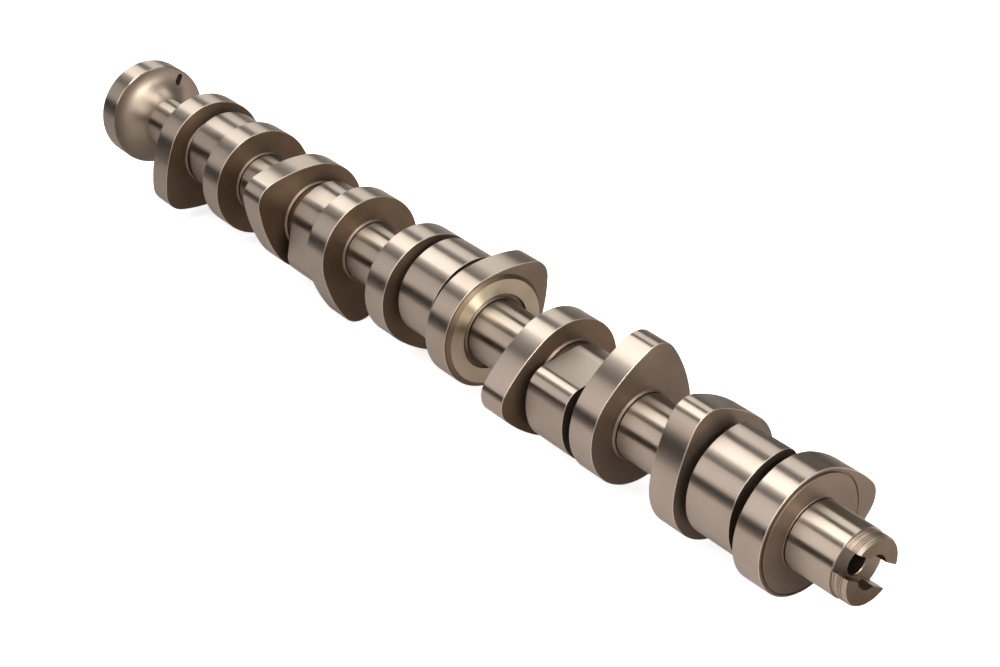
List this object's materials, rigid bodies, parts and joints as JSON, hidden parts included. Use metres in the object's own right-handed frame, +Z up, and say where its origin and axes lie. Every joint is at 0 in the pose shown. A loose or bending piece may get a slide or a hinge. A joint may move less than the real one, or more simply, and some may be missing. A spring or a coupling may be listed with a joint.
{
  "type": "camshaft",
  "caption": "Ground steel engine camshaft with round bearing journals, pear-shaped valve lobes, wide pump-injector lobes, a gear flange and a slotted drive end.",
  "frame": {"origin": "middle of the gear flange's flat rear face, on the shaft's axis, at the centre of the bolt circle", "axes": "+X runs along the shaft's axis from the gear flange to the slotted drive end, +Z is up as the shaft lies on its lobes, and +Y completes a right-handed frame"},
  "size_m": [0.4912, 0.0692, 0.0674],
  "materials": {
    "ground_steel": "ground journals and lobe tracks with a fine turned sheen, darker turned side faces"
  },
  "bodies": {
    "root": {"camshaft": "ground_steel"}
  },
  "joints": []
}
